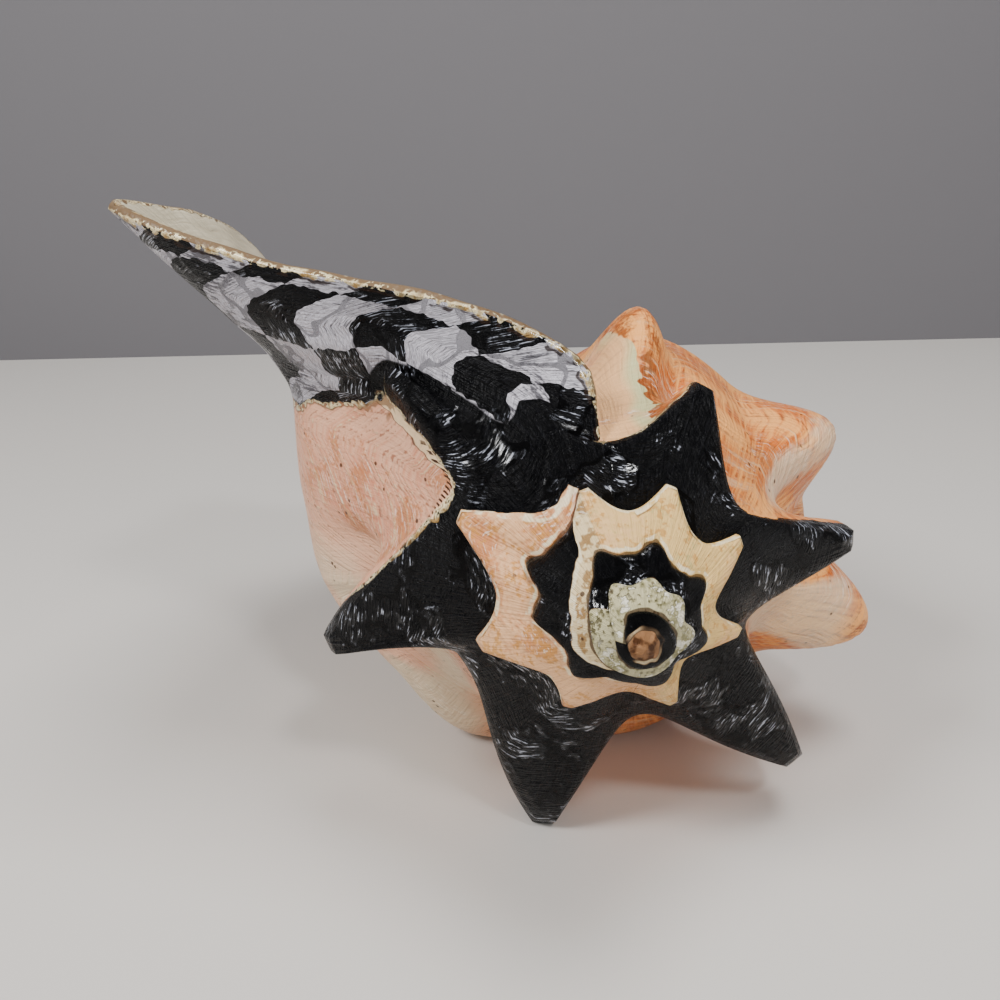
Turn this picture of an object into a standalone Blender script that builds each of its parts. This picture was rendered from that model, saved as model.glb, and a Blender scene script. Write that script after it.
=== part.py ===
"""A large conch shell with long shoulder spines, lying on its back with the mouth up.

The shell grows along a spiral. A growth line is one cross-section, from the seam with
the turn before, over the ramp and the shoulder, down the body to the front end. Every
place on it is given by an angle about the axis, a radius and a depth along the axis,
away from the spire. The angle is clockwise as seen from the spire end, 0 is straight
up, and it keeps growing past 360 with each turn. Lengths in the tables are millimetres.
"""
import math

import bmesh
import bpy
import numpy as np

MM = 0.001

# The axis: a point on it just behind the tip of the spire, before the shell is centred,
# and how far the spire is turned to the right and how far it is tipped up, in degrees.
# Depths are measured along it from that point. The early spire leans up from it by a
# little for each millimetre before LEAN_DEPTH.
ORIGIN = np.array([30.0, 191.4, 88.4])
AXIS_YAW = 2.0
AXIS_TILT = 5.1
LEAN = 0.105
LEAN_DEPTH = 20.0

# How the spiral is cut into growth lines, in degrees.
STEP = 4
FIRST_TURN = -1242
BODY_START = 354
LIP = 714
TURN = 360

# How many facets a growth line has on the ramp and on the body, and how many short
# steps are measured along each stretch of it to space them evenly.
RAMP_FACETS = 5
BODY_FACETS = 20
FINE_STEPS = 12

# The radius of the early spire's edge: angle, radius. Its depth follows from the radius:
# a cone with a rounded tip.
SPIRE = [
    (-1242, 0.4), (-1190, 3.2), (-1150, 4.4), (-1118, 6.1), (-1103, 7.3), (-1065, 7.2),
    (-1020, 7.0), (-980, 7.6), (-935, 5.9), (-900, 5.7), (-850, 5.6), (-793, 6.3),
    (-762, 10.2), (-745, 13.1), (-728, 11.9), (-706, 13.3), (-688, 11.8), (-670, 12.7),
    (-650, 10.5), (-628, 12.8), (-600, 8.9), (-560, 9.3), (-520, 8.6), (-480, 9.8),
    (-438, 11.0), (-415, 13.2), (-397, 15.7), (-384, 19.4), (-372, 17.6), (-360, 17.4),
    (-344, 20.0), (-328, 16.6), (-314, 17.0), (-301, 19.4), (-288, 15.4), (-272, 15.0),
    (-257, 17.5), (-232, 10.4), (-205, 14.7), (-175, 11.4), (-146, 12.0), (-130, 18.0),
    (-110, 16.2), (-97, 18.2), (-86, 22.6), (-72, 21.8), (-60, 27.0), (-50, 25.0), (-38, 25.2),
]
SPIRE_SLOPE = 1.17
SPIRE_FRONT = -10.5
TIP_ROUND = 4.0

# The seam with the turn before lies this far inside the shoulder's edge and this far
# behind it, as shares of the edge's radius.
SEAM_INSET = 0.985
SEAM_DROP = 0.05

# How far the ramp bulges between the seam and the edge, as a share of the radius, first
# on the early turns. On the last turn its middle lies nearer the seam and is hollow at
# a spine.
EARLY_RAMP_BULGE = 0.03
RAMP_MIDDLE = 0.45
RAMP_HOLLOW = 0.02

# The underside of the shoulder: how far behind the edge it lies in a valley, and how
# much farther at the end of a spine.
UNDER_DEPTH = 3.5
UNDER_SPINE_DEPTH = 5.5

# The valleys between the spines of the shoulder: angle, radius, depth.
VALLEYS = [
    (-38, 25.2, 19.0), (2, 25.6, 19.6), (40, 24.6, 19.0), (80, 20.5, 17.0),
    (128, 17.0, 17.5), (184, 18.5, 17.5), (232, 23.5, 18.5), (280, 31.0, 23.5),
    (320, 34.5, 27.0), (358, 39.0, 32.0), (412, 36.5, 32.0), (470, 37.5, 44.0),
    (528, 39.0, 43.0), (606, 45.5, 46.0), (662, 48.5, 40.0), (692, 63.0, 47.0),
    (714, 72.0, 48.0),
]

# The shoulder spines: angle of the root, how many degrees its foot reaches before and
# after it, the sweep of its end in degrees, then the radius and the depth of its end.
BLUNT_END = 2.0
SPINE_HOLLOW = 2.3
SPINES = [
    (-18, 18, 18, 0, 31.5, 23.7), (20, 19, 19, 0, 31.9, 24.0), (62, 20, 20, -2, 32.1, 24.4),
    (106, 24, 24, -3, 28.6, 22.5), (156, 28, 28, -2, 28.0, 23.5),
    (210, 26, 26, 0, 28.5, 23.5), (256, 24, 24, -1, 36.4, 27.1),
    (300, 21, 21, -1, 44.6, 33.4), (339, 18, 18, 0, 44.5, 34.0),
    (384, 27, 28, 0, 54.4, 39.7), (444, 31, 27, 0, 65.2, 49.0),
    (500, 31, 29, -1, 87.0, 62.0), (556, 24, 46, -4, 86.0, 63.5),
    (620, 15, 44, -6, 80.0, 59.5), (676, 14, 15, 0, 77.0, 56.5),
]

# The body behind the shoulder, one row for each chosen growth line: its angle, then
# the sweep in degrees, the radius and the depth at five levels from the shoulder to
# the front end.
BODY_LINES = [
    (354, (-1, 42, 54), (-4, 43, 88), (-8, 39, 125), (-12, 31, 162), (-15, 19, 207)),
    (368, (0, 45, 55), (-1, 50, 90), (-3, 46, 125), (-7, 39, 160), (-12, 22, 207)),
    (386, (0, 46, 56), (0, 55, 92), (-1, 57, 125), (-4, 48, 160), (-8, 26, 207)),
    (408, (0, 47, 57), (0, 56, 94), (0, 60, 126), (-2, 50, 160), (-4, 27, 207)),
    (444, (0, 50, 62), (0, 67, 97), (0, 66, 130), (0, 53, 165), (0, 28, 208)),
    (500, (0, 56, 76), (0, 75, 101), (0, 74, 132), (0, 57, 168), (0, 29, 209)),
    (536, (0, 59, 79), (0, 76.5, 102), (0, 77, 133), (0, 61, 170), (0, 30, 210)),
    (572, (0, 60, 78), (0, 79.5, 102), (0, 79, 133), (0, 63, 170), (0, 32, 210)),
    (612, (0, 58, 68), (0, 81, 99), (0, 82, 131), (0, 67, 170), (0, 35, 210)),
    (644, (-2, 63, 64), (-4, 88, 98), (-6, 90, 130), (-8, 77, 168), (-9, 42, 209)),
    (664, (-5, 69, 67), (-10, 95, 98), (-12, 96, 128), (-16, 86, 166), (-20, 53, 208)),
    (676, (-11, 83, 72), (-17, 104, 97), (-20, 105, 126), (-24, 95, 166), (-31, 62, 208)),
    (692, (-23, 96, 67), (-30, 122, 94), (-31, 120, 122), (-34, 109, 165), (-46, 74, 208)),
    (714, (-42, 121, 68), (-48, 162, 89), (-46, 150, 118), (-48, 136, 165), (-64, 94, 207)),
]

# The front end of the shell, and how round it is: a last point before it, at a share of
# the radius and of the way down from the level before.
FRONT_END = (-20, 7, 243)
FRONT_ROUND = (0.48, 0.82)

# The second row of knobs, low on the body: angle, half width, height of the knob. It
# swells the level below them by a share of its height.
KNOBS = [
    (373, 14, 14), (430, 17, 17), (474, 19, 28), (529, 24, 3), (568, 24, 6), (618, 20, 3),
]

KNOB_SWELL = 0.15

# The last growth lines before the lip have no spines. Three places on them are given
# outright: the underside of the shoulder and the middle of the ramp, as angle, sweep,
# radius and depth, and the sweep of the shoulder's edge. The underside takes its new
# place in the first part of the way.
LIP_SHOULDER = [
    (652, -1, 52, 49), (664, -3, 57, 51), (676, -6, 75, 63), (692, -15, 83, 57), (714, -31, 93, 56),
]
LIP_MIDDLE = [(652, 0, 44, 37), (676, 0, 49, 39), (692, 0, 49, 39), (714, -1, 55.5, 44)]
LIP_EDGE_SWEEP = [(640, 0), (662, 2), (676, -3), (692, -9), (714, -16)]
UNDER_BLEND = 5

# Where the seam and the lip meet.
SEAM_AT_LIP = (354, 40, 36)

# The wall and the hollow behind the lip. The hollow runs back from the lip in these
# steps, in degrees, around a middle pillar that is thicker towards the shoulder. Its
# front tip is near the axis, and past the neck it is squeezed back to its own front.
LIP_THICKNESS = 3.2
WALL = 4.6
WALL_FADE = 4
HOLLOW_STEPS = (6, 14, 26, 42, 62, 86, 114, 146, 180, 214, 246, 274)
HOLLOW_NECK = 160
HOLLOW_FRONT = 215
HOLLOW_TIP = (9, 243)
HOLLOW_TIP_BLEND = 8
PILLAR_RADIUS = 15.0
PILLAR_THIN = 0.2
PILLAR_BLEND = 3
SQUEEZE_START = 0.05
SQUEEZE_BLEND = 5
SLOPE_STEP = 2

# Points of two strips closer than the first distance are one point, and so are points
# at the tip of the spire closer than the second, in millimetres.
MERGE = 0.02
TIP_BLEND = 1.2
SMALLEST = 1e-6


def smooth_value(angle, keys, column):
    """Reads one column of a table at an angle, along a smooth curve without overshoot."""
    xs = np.array([row[0] for row in keys], float)
    ys = np.array([row[column] for row in keys], float)
    slopes = np.diff(ys) / np.diff(xs)
    tangents = np.zeros(len(ys))
    for i in range(1, len(ys) - 1):
        before, after = slopes[i - 1], slopes[i]
        if before * after > 0:
            tangents[i] = 2 * before * after / (before + after)
    tangents[0] = slopes[0]
    tangents[-1] = slopes[-1]
    i = int(np.clip(np.searchsorted(xs, angle) - 1, 0, len(xs) - 2))
    span = xs[i + 1] - xs[i]
    t = float(np.clip((angle - xs[i]) / span, 0, 1))
    a = (2 * t**3 - 3 * t**2 + 1) * ys[i] + (t**3 - 2 * t**2 + t) * span * tangents[i]
    b = (3 * t**2 - 2 * t**3) * ys[i + 1] + (t**3 - t**2) * span * tangents[i + 1]
    return a + b


def spike(offset, before, after):
    """1 at the middle of a spine and 0 from its foot on, with hollow sides."""
    foot = before if offset < 0 else after
    return max(0.0, 1 - max(0.0, abs(offset) - BLUNT_END) / foot) ** SPINE_HOLLOW


def spire_depth(radius):
    """The depth of the early spire's edge where it has a given radius."""
    return SPIRE_FRONT + SPIRE_SLOPE * math.hypot(radius, TIP_ROUND)


def shoulder(angle, spines=True):
    """The edge of the shoulder at an angle: sweep, radius, depth and spine share."""
    if angle < VALLEYS[0][0]:
        radius = smooth_value(angle, SPIRE, 1)
        return 0.0, radius, spire_depth(radius), 0.0
    sweep = 0.0
    radius = smooth_value(angle, VALLEYS, 1)
    depth = smooth_value(angle, VALLEYS, 2)
    total = 0.0
    for root, before, after, end_sweep, end_radius, end_depth in SPINES if spines else []:
        share = spike(angle - root, before, after)
        if share > 0:
            radius += (end_radius - smooth_value(root, VALLEYS, 1)) * share
            depth += (end_depth - smooth_value(root, VALLEYS, 2)) * share
            sweep += end_sweep * share
            total = max(total, share)
    return sweep, radius, depth, total


AXIS_FORWARD = np.array([
    -math.sin(math.radians(AXIS_YAW)) * math.cos(math.radians(AXIS_TILT)),
    math.cos(math.radians(AXIS_YAW)) * math.cos(math.radians(AXIS_TILT)),
    -math.sin(math.radians(AXIS_TILT)),
])
AXIS_UP = np.array([0, 0, 1.0]) - AXIS_FORWARD * AXIS_FORWARD[2]
AXIS_UP /= np.linalg.norm(AXIS_UP)
AXIS_RIGHT = np.cross(AXIS_FORWARD, AXIS_UP)


def centre_at(depth):
    """The middle of the spiral at a depth."""
    lean = LEAN * max(0.0, LEAN_DEPTH - depth)
    return ORIGIN + depth * AXIS_FORWARD + lean * AXIS_UP


def place(angle, radius, depth):
    """The point at an angle, a radius and a depth, in millimetres."""
    turn = math.radians(angle)
    out = math.cos(turn) * AXIS_UP + math.sin(turn) * AXIS_RIGHT
    return centre_at(depth) + radius * out


FRONT_POINT = place(*FRONT_END)
TIP_POINT = place(0, 0, spire_depth(0))


def from_table(angle, table):
    """A point read from a table of angle, sweep, radius and depth."""
    sweep, radius, depth = (smooth_value(angle, table, column) for column in (1, 2, 3))
    return place(angle + sweep, radius, depth)


def mix(first, second, share):
    return first * (1 - share) + second * share


def seam_point(angle):
    """Where the next turn joins this one: just under the shoulder's edge."""
    if angle <= FIRST_TURN:
        return TIP_POINT
    if angle >= BODY_START:
        return place(*SEAM_AT_LIP)
    sweep, radius, depth, _ = shoulder(angle)
    return place(angle + sweep, radius * SEAM_INSET, depth + SEAM_DROP * radius)


def curve_through(points, facets):
    """Points spread evenly along a smooth curve through the given points."""
    p = np.array(points)
    chords = np.diff(p, axis=0)
    spans = np.maximum(np.linalg.norm(chords, axis=1), SMALLEST)
    ways = chords / spans[:, None]
    tangents = np.vstack([ways, ways[-1:]])
    for i in range(1, len(p) - 1):
        before, after = spans[i - 1], spans[i]
        tangents[i] = (ways[i - 1] * after + ways[i] * before) / (before + after)
    fine = []
    for i, span in enumerate(spans):
        for t in np.linspace(0, 1, FINE_STEPS, endpoint=False):
            fine.append((2 * t**3 - 3 * t**2 + 1) * p[i] + (3 * t**2 - 2 * t**3) * p[i + 1]
                        + (t**3 - 2 * t**2 + t) * span * tangents[i]
                        + (t**3 - t**2) * span * tangents[i + 1])
    fine = np.array(fine + [p[-1]])
    run = np.concatenate([[0], np.cumsum(np.linalg.norm(np.diff(fine, axis=0), axis=1))])
    stops = np.linspace(0, run[-1], facets + 1)
    return np.column_stack([np.interp(stops, run, fine[:, k]) for k in range(3)])


def lip_share(angle):
    """0 up to the last spine and 1 at the lip."""
    start = LIP_SHOULDER[0][0]
    return float(np.clip((angle - start) / (LIP - start), 0, 1))


def ramp_line(angle, spines=True):
    """The growth line from the seam over the ramp to just under the shoulder."""
    start = seam_point(angle - TURN)
    sweep, radius, depth, share = shoulder(angle, spines)
    sweep += smooth_value(angle, LIP_EDGE_SWEEP, 1)
    edge = place(angle + sweep, radius, depth)
    if angle <= BODY_START:
        middle = (start + edge) / 2 - AXIS_FORWARD * EARLY_RAMP_BULGE * radius
        return curve_through([start, middle, edge, seam_point(angle)], RAMP_FACETS)
    middle = mix(start, edge, RAMP_MIDDLE) + AXIS_FORWARD * RAMP_HOLLOW * radius * share
    lower = depth + UNDER_DEPTH + UNDER_SPINE_DEPTH * share
    under = place(angle + sweep, radius * SEAM_INSET, lower)
    blend = lip_share(angle)
    if blend > 0:
        middle = mix(middle, from_table(angle, LIP_MIDDLE), blend)
        under = mix(under, from_table(angle, LIP_SHOULDER), min(1.0, UNDER_BLEND * blend))
    return curve_through([start, middle, edge, under], RAMP_FACETS)


def knob_height(angle):
    """How far the second row of knobs stands out at an angle."""
    total = 0.0
    for middle, half_width, height in KNOBS:
        t = max(0.0, 1 - abs(angle - middle) / half_width)
        total += height * t * t * (3 - 2 * t)
    return total


def body_line(angle, top, knobs=True, front=FRONT_POINT):
    """The growth line from under the shoulder down the body to the front end."""
    levels = []
    for level in range(1, 6):
        columns = [(row[0],) + row[level] for row in BODY_LINES]
        levels.append([smooth_value(angle, columns, k) for k in (1, 2, 3)])
    if knobs:
        levels[1][1] += knob_height(angle)
        levels[2][1] += knob_height(angle) * KNOB_SWELL
    points = [top] + [place(angle + s, r, d) for s, r, d in levels]
    sweep, radius, depth = levels[-1]
    end = place(angle + sweep, radius * FRONT_ROUND[0],
                depth + (FRONT_END[2] - depth) * FRONT_ROUND[1])
    return curve_through(points + [end, front], BODY_FACETS)


def whole_line(angle, decorated=True, front=FRONT_POINT):
    """The whole growth line, with or without its spines and knobs."""
    ramp = ramp_line(angle, decorated)
    return np.vstack([ramp, body_line(angle, ramp[-1], decorated, front)[1:]])


def to_axis(point):
    """The angle, radius and depth of a point."""
    depth = (point - ORIGIN) @ AXIS_FORWARD
    out = point - centre_at(depth)
    angle = math.degrees(math.atan2(out @ AXIS_RIGHT, out @ AXIS_UP))
    return angle, np.linalg.norm(out), depth


def offset_line(angle, wall, share):
    """A plain growth line moved into the shell by the thickness of the wall."""
    near = min(1.0, HOLLOW_TIP_BLEND * share)
    front = mix(FRONT_POINT, place(angle, *HOLLOW_TIP), near)
    here = whole_line(angle, False, front)
    across = (whole_line(min(angle + SLOPE_STEP, LIP), False, front)
              - whole_line(angle - SLOPE_STEP, False, front))
    along = np.gradient(here, axis=0)
    normal = np.cross(along, across)
    lengths = np.linalg.norm(normal, axis=1)
    normal = normal / np.maximum(lengths, SMALLEST)[:, None]
    normal[0] = normal[1]
    to_front = len(here) - 1 - np.arange(len(here))
    return here + normal * wall * np.minimum(1, to_front / WALL_FADE)[:, None]


def hollow_ring(angle, wall):
    """One ring of the hollow: down the wall's inner side and back up the middle pillar."""
    share = (LIP - angle) / HOLLOW_STEPS[-1]
    inward = min(1.0, PILLAR_BLEND * share)
    inward = inward * inward * (3 - 2 * inward)
    mouth_side = body_line(BODY_START, seam_point(BODY_START))
    inner = []
    for i in range(BODY_FACETS - 1, 0, -1):
        own_angle, radius, depth = to_axis(mouth_side[i])
        sweep = (own_angle - BODY_START + TURN / 2) % TURN - TURN / 2
        thin = math.sqrt(1 - i / BODY_FACETS)
        pillar = PILLAR_RADIUS * (PILLAR_THIN + (1 - PILLAR_THIN) * thin)
        radius = mix(radius, min(pillar, radius), inward)
        inner.append(place(angle + sweep * (1 - inward), radius, depth))
    ring = np.vstack([offset_line(angle, wall, share), inner])
    squeeze = (HOLLOW_FRONT - HOLLOW_NECK) / (FRONT_END[2] - HOLLOW_NECK)
    squeeze = mix(1, squeeze, min(1.0, SQUEEZE_BLEND * max(0, share - SQUEEZE_START)))
    for i, point in enumerate(ring):
        own_angle, radius, depth = to_axis(point)
        if depth > HOLLOW_NECK:
            ring[i] = place(own_angle, radius, HOLLOW_NECK + squeeze * (depth - HOLLOW_NECK))
    return ring


def lay_surface(mesh, lines):
    """A sheet of four-sided faces through the given lines, from the first to the last."""
    rows = len(lines)
    sheet = bmesh.ops.create_grid(
        mesh, x_segments=rows - 1, y_segments=len(lines[0]) - 1, size=1)
    for index, vert in enumerate(sheet["verts"]):
        vert.co = lines[index % rows][index // rows] * MM


def build_shell():
    """Early turns, last turn with the lip, and the hollow, joined into one closed skin."""
    mesh = bmesh.new()
    early = [ramp_line(a) for a in range(FIRST_TURN, BODY_START + 1, STEP)]
    late = [whole_line(a) for a in range(BODY_START, LIP + 1, STEP)]
    mouth = np.vstack([late[-1], late[0][-2:RAMP_FACETS:-1]])
    rings = [mouth, hollow_ring(LIP, LIP_THICKNESS)]
    rings += [hollow_ring(LIP - step, WALL) for step in HOLLOW_STEPS]
    middle = rings[-1].mean(axis=0)
    rings.append((rings[-1] + middle) / 2)
    rings.append(np.tile(middle, (len(mouth), 1)))
    lay_surface(mesh, early)
    lay_surface(mesh, late)
    lay_surface(mesh, [np.vstack([ring, ring[:1]]) for ring in rings])
    bmesh.ops.remove_doubles(mesh, verts=mesh.verts, dist=MERGE * MM)
    tip = [v for v in mesh.verts if np.linalg.norm(np.array(v.co) / MM - TIP_POINT) < TIP_BLEND]
    bmesh.ops.remove_doubles(mesh, verts=tip, dist=TIP_BLEND * MM)
    bmesh.ops.triangulate(mesh, faces=mesh.faces)
    rest_on_flats(mesh)
    return mesh


def rest_on_flats(mesh):
    """Wears the lowest points down to the surface and centres the shell over it."""
    for vert in mesh.verts:
        vert.co.z = max(vert.co.z, 0.0)
    places = np.array([vert.co for vert in mesh.verts])
    middle = (places.min(axis=0) + places.max(axis=0)) / 2
    bmesh.ops.translate(mesh, verts=mesh.verts, vec=(-middle[0], -middle[1], 0))


def make_object(mesh, name):
    data = bpy.data.meshes.new(name)
    mesh.to_mesh(data)
    mesh.free()
    data.shade_smooth()
    thing = bpy.data.objects.new(name, data)
    bpy.context.collection.objects.link(thing)
    return thing


def painted_shell():
    """Glossy, mostly black over the spire, as seen from the side of the spire."""
    material = bpy.data.materials.new("painted shell")
    material.use_nodes = True
    shader = material.node_tree.nodes["Principled BSDF"]
    shader.inputs["Base Color"].default_value = (0.30, 0.20, 0.14, 1)
    shader.inputs["Roughness"].default_value = 0.3
    shader.inputs["Metallic"].default_value = 0.0
    return material


for old in list(bpy.data.objects):
    bpy.data.objects.remove(old)
shell = make_object(build_shell(), "shell")
shell.data.materials.append(painted_shell())
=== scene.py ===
"""A painted conch shell for a shelf: black enamel over the spines and checks on the lip.

The shell is drawn again from its own growth lines, finer than the solid model. Every
corner of the skin keeps where it lies on the shell: its growth angle, how far it is
from the seam and from the shoulder's edge. The paint, the gilding and the bare shell
read those, so each finish follows the shell's own growth. Lengths in the tables are
millimetres, and angles are degrees, clockwise as seen from the spire.
"""
import math
from types import SimpleNamespace

import bmesh
import bpy
import numpy as np
from mathutils import Matrix, Vector


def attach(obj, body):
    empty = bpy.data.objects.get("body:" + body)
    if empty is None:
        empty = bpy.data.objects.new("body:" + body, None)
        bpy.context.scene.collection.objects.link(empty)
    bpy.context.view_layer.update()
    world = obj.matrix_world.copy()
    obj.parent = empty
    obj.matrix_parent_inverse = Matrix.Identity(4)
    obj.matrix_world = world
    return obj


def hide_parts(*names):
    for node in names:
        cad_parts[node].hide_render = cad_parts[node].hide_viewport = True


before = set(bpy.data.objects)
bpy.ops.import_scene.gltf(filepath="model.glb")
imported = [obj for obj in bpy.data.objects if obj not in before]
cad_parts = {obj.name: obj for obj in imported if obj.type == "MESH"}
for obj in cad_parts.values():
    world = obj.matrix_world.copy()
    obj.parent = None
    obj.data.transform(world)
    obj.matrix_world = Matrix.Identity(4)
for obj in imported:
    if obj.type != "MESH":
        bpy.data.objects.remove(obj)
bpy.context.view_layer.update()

MM = 0.001

# The middle of the shell's box, as seen from under the camera.
CENTRE = np.array([7.063, 309.839, 0.0])
CAMERA_HEIGHT = 200.0

# The axis: a point on it just behind the tip of the spire, before the shell is centred,
# and how far the spire is turned to the right and how far it is tipped up, in degrees.
# Depths are measured along it from that point. The early spire leans up from it by a
# little for each millimetre before LEAN_DEPTH.
ORIGIN = np.array([30.0, 191.4, 88.4])
AXIS_YAW = 2.0
AXIS_TILT = 5.1
LEAN = 0.105
LEAN_DEPTH = 20.0

# How the spiral is cut into growth lines, in degrees.
STEP = 1
FIRST_TURN = -1242
BODY_START = 354
LIP = 714
TURN = 360

# How many facets a growth line has on the ramp and on the body, and how many short
# steps are measured along each stretch of it to space them evenly.
RAMP_FACETS = 14
BODY_FACETS = 64
FINE_STEPS = 12

# The radius of the early spire's edge: angle, radius. Its depth follows from the radius:
# a cone with a rounded tip.
SPIRE = [
    (-1242, 0.0), (-1190, 3.2), (-1150, 4.4), (-1118, 6.1), (-1103, 7.3), (-1065, 7.2),
    (-1020, 7.0), (-980, 7.6), (-935, 5.9), (-900, 5.7), (-850, 5.6), (-793, 6.3),
    (-762, 10.2), (-745, 13.1), (-728, 11.9), (-706, 13.3), (-688, 11.8), (-670, 12.7),
    (-650, 10.5), (-628, 12.8), (-600, 8.9), (-560, 9.3), (-520, 8.6), (-480, 9.8),
    (-438, 11.0), (-415, 13.2), (-397, 15.7), (-384, 19.4), (-372, 17.6), (-360, 17.4),
    (-344, 20.0), (-328, 16.6), (-314, 17.0), (-301, 19.4), (-288, 15.4), (-272, 15.0),
    (-257, 17.5), (-232, 10.4), (-205, 14.7), (-175, 11.4), (-146, 12.0), (-130, 18.0),
    (-110, 16.2), (-97, 18.2), (-86, 22.6), (-72, 21.8), (-60, 27.0), (-50, 25.0), (-38, 25.2),
]
SPIRE_SLOPE = 1.17
SPIRE_FRONT = -10.5
TIP_ROUND = 4.0

# The seam with the turn before lies this far inside the shoulder's edge and this far
# behind it, as shares of the edge's radius.
SEAM_INSET = 0.985
SEAM_DROP = 0.05

# How far the ramp bulges between the seam and the edge, as a share of the radius, first
# on the early turns. On the last turn its middle lies nearer the seam and is hollow at
# a spine.
EARLY_RAMP_BULGE = 0.03
RAMP_MIDDLE = 0.45
RAMP_HOLLOW = 0.02

# The underside of the shoulder: how far behind the edge it lies in a valley, and how
# much farther at the end of a spine.
UNDER_DEPTH = 3.5
UNDER_SPINE_DEPTH = 5.5

# The valleys between the spines of the shoulder: angle, radius, depth.
VALLEYS = [
    (-38, 25.2, 19.0), (2, 25.6, 19.6), (40, 24.6, 19.0), (80, 20.5, 17.0),
    (128, 17.0, 17.5), (184, 18.5, 17.5), (232, 23.5, 18.5), (280, 31.0, 23.5),
    (320, 34.5, 27.0), (358, 39.0, 32.0), (412, 36.5, 32.0), (470, 37.5, 44.0),
    (528, 39.0, 43.0), (606, 45.5, 46.0), (662, 48.5, 40.0), (692, 63.0, 47.0),
    (714, 72.0, 48.0),
]

# The shoulder spines: angle of the root, how many degrees its foot reaches before and
# after it, the sweep of its end in degrees, then the radius and the depth of its end.
BLUNT_END = 2.0
SPINE_HOLLOW = 2.3
SPINES = [
    (-18, 18, 18, 0, 31.5, 23.7), (20, 19, 19, 0, 31.9, 24.0), (62, 20, 20, -2, 32.1, 24.4),
    (106, 24, 24, -3, 28.6, 22.5), (156, 28, 28, -2, 28.0, 23.5),
    (210, 26, 26, 0, 28.5, 23.5), (256, 24, 24, -1, 36.4, 27.1),
    (300, 21, 21, -1, 44.6, 33.4), (339, 18, 18, 0, 44.5, 34.0),
    (384, 27, 28, 0, 54.4, 39.7), (444, 31, 27, 0, 65.2, 49.0),
    (500, 31, 29, -1, 87.0, 62.0), (556, 24, 46, -4, 86.0, 63.5),
    (620, 15, 44, -6, 80.0, 59.5), (676, 14, 15, 0, 77.0, 56.5),
]

# The body behind the shoulder, one row for each chosen growth line: its angle, then
# the sweep in degrees, the radius and the depth at five levels from the shoulder to
# the front end.
BODY_LINES = [
    (354, (-1, 42, 54), (-4, 43, 88), (-8, 39, 125), (-12, 31, 162), (-15, 19, 207)),
    (368, (0, 45, 55), (-1, 50, 90), (-3, 46, 125), (-7, 39, 160), (-12, 22, 207)),
    (386, (0, 46, 56), (0, 55, 92), (-1, 57, 125), (-4, 48, 160), (-8, 26, 207)),
    (408, (0, 47, 57), (0, 56, 94), (0, 60, 126), (-2, 50, 160), (-4, 27, 207)),
    (444, (0, 50, 62), (0, 67, 97), (0, 66, 130), (0, 53, 165), (0, 28, 208)),
    (500, (0, 56, 76), (0, 75, 101), (0, 74, 132), (0, 57, 168), (0, 29, 209)),
    (536, (0, 59, 79), (0, 76.5, 102), (0, 77, 133), (0, 61, 170), (0, 30, 210)),
    (572, (0, 60, 78), (0, 79.5, 102), (0, 79, 133), (0, 63, 170), (0, 32, 210)),
    (612, (0, 58, 68), (0, 81, 99), (0, 82, 131), (0, 67, 170), (0, 35, 210)),
    (644, (-2, 63, 64), (-4, 88, 98), (-6, 90, 130), (-8, 77, 168), (-9, 42, 209)),
    (664, (-5, 69, 67), (-10, 95, 98), (-12, 96, 128), (-16, 86, 166), (-20, 53, 208)),
    (676, (-11, 83, 72), (-17, 104, 97), (-20, 105, 126), (-24, 95, 166), (-31, 62, 208)),
    (692, (-23, 96, 67), (-30, 122, 94), (-31, 120, 122), (-34, 109, 165), (-46, 74, 208)),
    (714, (-42, 121, 68), (-48, 162, 89), (-46, 150, 118), (-48, 136, 165), (-64, 94, 207)),
]

# The front end of the shell, and how round it is: a last point before it, at a share of
# the radius and of the way down from the level before.
FRONT_END = (-20, 7, 243)
FRONT_ROUND = (0.48, 0.82)

# The second row of knobs, low on the body: angle, half width, height of the knob. It
# swells the level below them by a share of its height.
KNOBS = [
    (373, 14, 14), (430, 17, 17), (474, 19, 28), (529, 24, 3), (568, 24, 6), (618, 20, 3),
]
KNOB_SWELL = 0.15

# The last growth lines before the lip have no spines. Three places on them are given
# outright: the underside of the shoulder and the middle of the ramp, as angle, sweep,
# radius and depth, and the sweep of the shoulder's edge. The underside takes its new
# place in the first part of the way.
LIP_SHOULDER = [
    (652, -1, 52, 49), (664, -3, 57, 51), (676, -6, 75, 63), (692, -15, 83, 57), (714, -31, 93, 56),
]
LIP_MIDDLE = [(652, 0, 44, 37), (676, 0, 49, 39), (692, 0, 49, 39), (714, -1, 55.5, 44)]
LIP_EDGE_SWEEP = [(640, 0), (662, 2), (676, -3), (692, -9), (714, -16)]
UNDER_BLEND = 5

# Where the seam and the lip meet.
SEAM_AT_LIP = (354, 40, 36)

# The wall and the hollow behind the lip. The hollow runs back from the lip in these
# steps, in degrees, around a middle pillar that is thicker towards the shoulder. Its
# front tip is near the axis, and past the neck it is squeezed back to its own front.
LIP_THICKNESS = 3.2
WALL = 4.6
WALL_FADE = 4
HOLLOW_STEPS = (*range(1, 12), *range(12, 60, 3), *range(60, 275, 6), 274)
HOLLOW_NECK = 160
HOLLOW_FRONT = 215
HOLLOW_TIP = (9, 243)
HOLLOW_TIP_BLEND = 8
PILLAR_RADIUS = 15.0
PILLAR_THIN = 0.2
PILLAR_BLEND = 3
SQUEEZE_START = 0.05
SQUEEZE_BLEND = 5
SLOPE_STEP = 2

# Points of two sheets closer than this are one point, in millimetres. Lengths that
# something is divided by are never below SMALLEST.
MERGE = 0.0002
SMALLEST = 1e-6

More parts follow.
